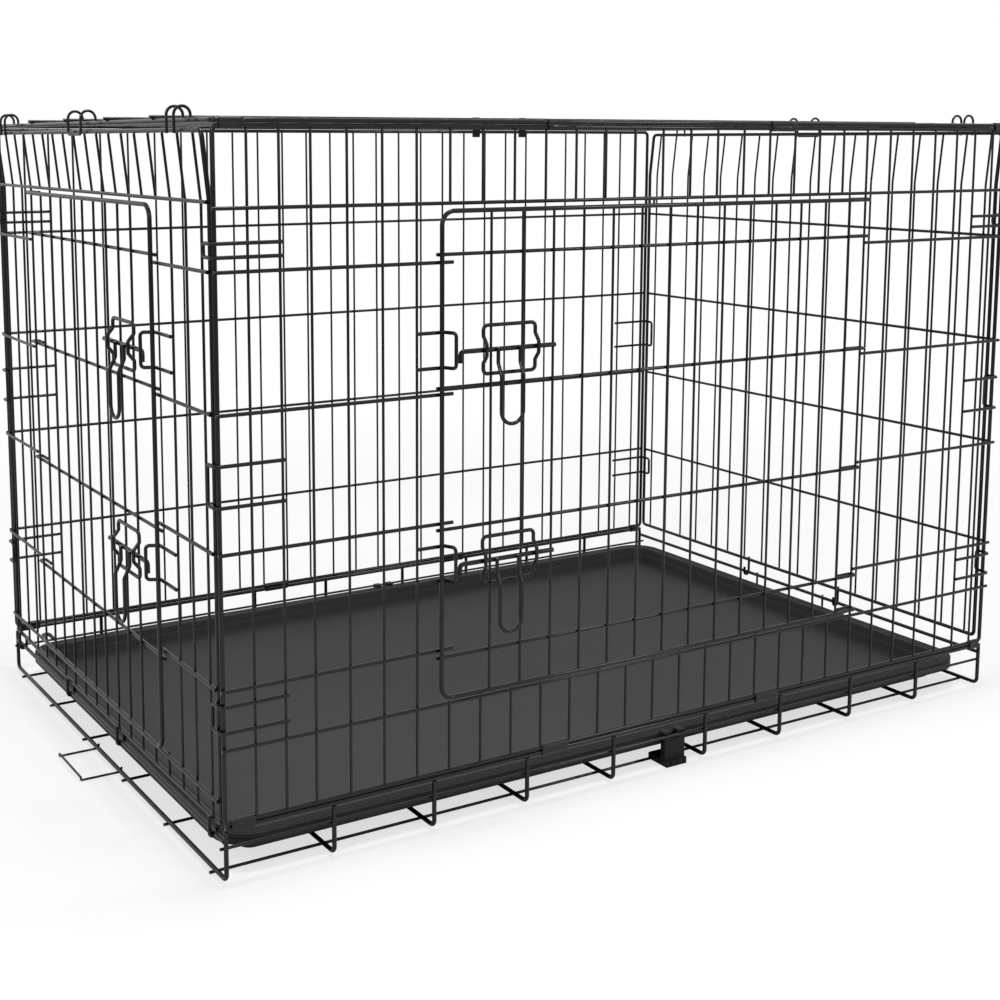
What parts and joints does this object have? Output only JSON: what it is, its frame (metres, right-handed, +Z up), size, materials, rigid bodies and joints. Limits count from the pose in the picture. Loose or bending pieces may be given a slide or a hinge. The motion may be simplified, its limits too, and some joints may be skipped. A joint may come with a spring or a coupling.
{
  "type": "wire dog crate",
  "caption": "Folding wire crate for a dog, with hinged end and side doors on sliding bolts, a hinged roof and a pull-out plastic tray.",
  "frame": {"origin": "on the floor under the middle of the crate's overall box", "axes": "+X along the crate, away from the end the tray leaves by, +Y across it, away from the long wall with the door, +Z up"},
  "size_m": [1.139, 0.7484, 0.7551],
  "materials": {
    "black_wire": "satin",
    "clip_sheet": "satin",
    "tray_plastic": "matte",
    "foot_plastic": "matte",
    "handle_plastic": "matte"
  },
  "bodies": {
    "base": {"base_cross_wires": "black_wire", "base_floor_wires": "black_wire", "base_side_rails": "black_wire", "base_side_wires": "black_wire", "base_left_end_wire": "black_wire", "base_right_end_rail": "black_wire", "front_hinge_clips": "clip_sheet", "back_hinge_clips": "clip_sheet", "base_feet": "foot_plastic"},
    "tray": {"tray": "tray_plastic"},
    "tray_stop": {"tray_stop": "black_wire"},
    "front_wall": {"front_frame": "black_wire", "front_left_grid": "black_wire", "front_right_grid": "black_wire", "front_header_grid": "black_wire", "front_sill_grid": "black_wire", "front_left_corner_hooks": "black_wire", "front_right_corner_hooks": "black_wire", "front_bolt_receivers": "black_wire", "roof_hinge_clips": "clip_sheet"},
    "front_door": {"front_door_frame": "black_wire", "front_door_grid": "black_wire", "front_upper_keeper": "black_wire", "front_lower_keeper": "black_wire"},
    "front_upper_bolt": {"front_upper_bolt": "black_wire"},
    "front_lower_bolt": {"front_lower_bolt": "black_wire"},
    "back_wall": {"back_frame": "black_wire", "back_grid": "black_wire", "back_left_corner_hooks": "black_wire", "back_right_corner_hooks": "black_wire"},
    "left_end": {"left_end_frame": "black_wire", "left_end_front_grid": "black_wire", "left_end_rear_grid": "black_wire", "left_end_header_grid": "black_wire", "left_end_sill_grid": "black_wire", "left_hinge_hooks": "black_wire", "left_bolt_receivers": "black_wire"},
    "end_door": {"end_door_frame": "black_wire", "end_door_grid": "black_wire", "end_upper_keeper": "black_wire", "end_lower_keeper": "black_wire"},
    "end_upper_bolt": {"end_upper_bolt": "black_wire"},
    "end_lower_bolt": {"end_lower_bolt": "black_wire"},
    "right_end": {"right_end_frame": "black_wire", "right_end_grid": "black_wire", "right_hinge_hooks": "black_wire"},
    "roof": {"roof_frame": "black_wire", "roof_grid": "black_wire", "roof_left_hooks": "black_wire", "roof_right_hooks": "black_wire"},
    "carry_handle": {"carry_handle_grip": "handle_plastic", "carry_handle_clips": "handle_plastic"}
  },
  "joints": [
    {"name": "tray_slide", "type": "slide", "parent": "base", "child": "tray", "axis": [-1, 0, 0], "range_m": [0, 0.9]},
    {"name": "tray_stop_turn", "type": "hinge", "parent": "base", "child": "tray_stop", "pos_m": [-0.52425, 0.00969, 0.00562], "axis": [0, -1, 0], "range_deg": [-85, 0]},
    {"name": "front_wall_fold", "type": "hinge", "parent": "base", "child": "front_wall", "pos_m": [0.01505, -0.34831, 0.0635], "axis": [-1, 0, 0], "range_deg": [-90, 0]},
    {"name": "back_wall_fold", "type": "hinge", "parent": "base", "child": "back_wall", "pos_m": [0.01505, 0.36769, 0.0635], "axis": [1, 0, 0], "range_deg": [-90, 0]},
    {"name": "left_end_fold", "type": "hinge", "parent": "base", "child": "left_end", "pos_m": [-0.52495, 0.00969, 0.0448], "axis": [0, -1, 0], "range_deg": [-90, 0]},
    {"name": "right_end_fold", "type": "hinge", "parent": "base", "child": "right_end", "pos_m": [0.55505, 0.00969, 0.048], "axis": [0, 1, 0], "range_deg": [-86, 0]},
    {"name": "roof_lift", "type": "hinge", "parent": "front_wall", "child": "roof", "pos_m": [0.01505, -0.34831, 0.74015], "axis": [1, 0, 0], "range_deg": [0, 120]},
    {"name": "front_door_swing", "type": "hinge", "parent": "front_wall", "child": "front_door", "pos_m": [0.31125, -0.34963, 0.39925], "axis": [0, 0, 1], "range_deg": [0, 150]},
    {"name": "end_door_swing", "type": "hinge", "parent": "left_end", "child": "end_door", "pos_m": [-0.52627, 0.22451, 0.3745], "axis": [0, 0, -1], "range_deg": [0, 145]},
    {"name": "front_upper_bolt_slide", "type": "slide", "parent": "front_door", "child": "front_upper_bolt", "axis": [1, 0, 0], "range_m": [-0.01, 0]},
    {"name": "front_lower_bolt_slide", "type": "slide", "parent": "front_door", "child": "front_lower_bolt", "axis": [1, 0, 0], "range_m": [-0.01, 0]},
    {"name": "end_upper_bolt_slide", "type": "slide", "parent": "end_door", "child": "end_upper_bolt", "axis": [0, 1, 0], "range_m": [-0.01, 0]},
    {"name": "end_lower_bolt_slide", "type": "slide", "parent": "end_door", "child": "end_lower_bolt", "axis": [0, 1, 0], "range_m": [-0.01, 0]},
    {"name": "carry_handle_turn", "type": "hinge", "parent": "roof", "child": "carry_handle", "pos_m": [-0.02195, -0.06031, 0.74447], "axis": [-1, 0, 0], "range_deg": [0, 170]}
  ]
}
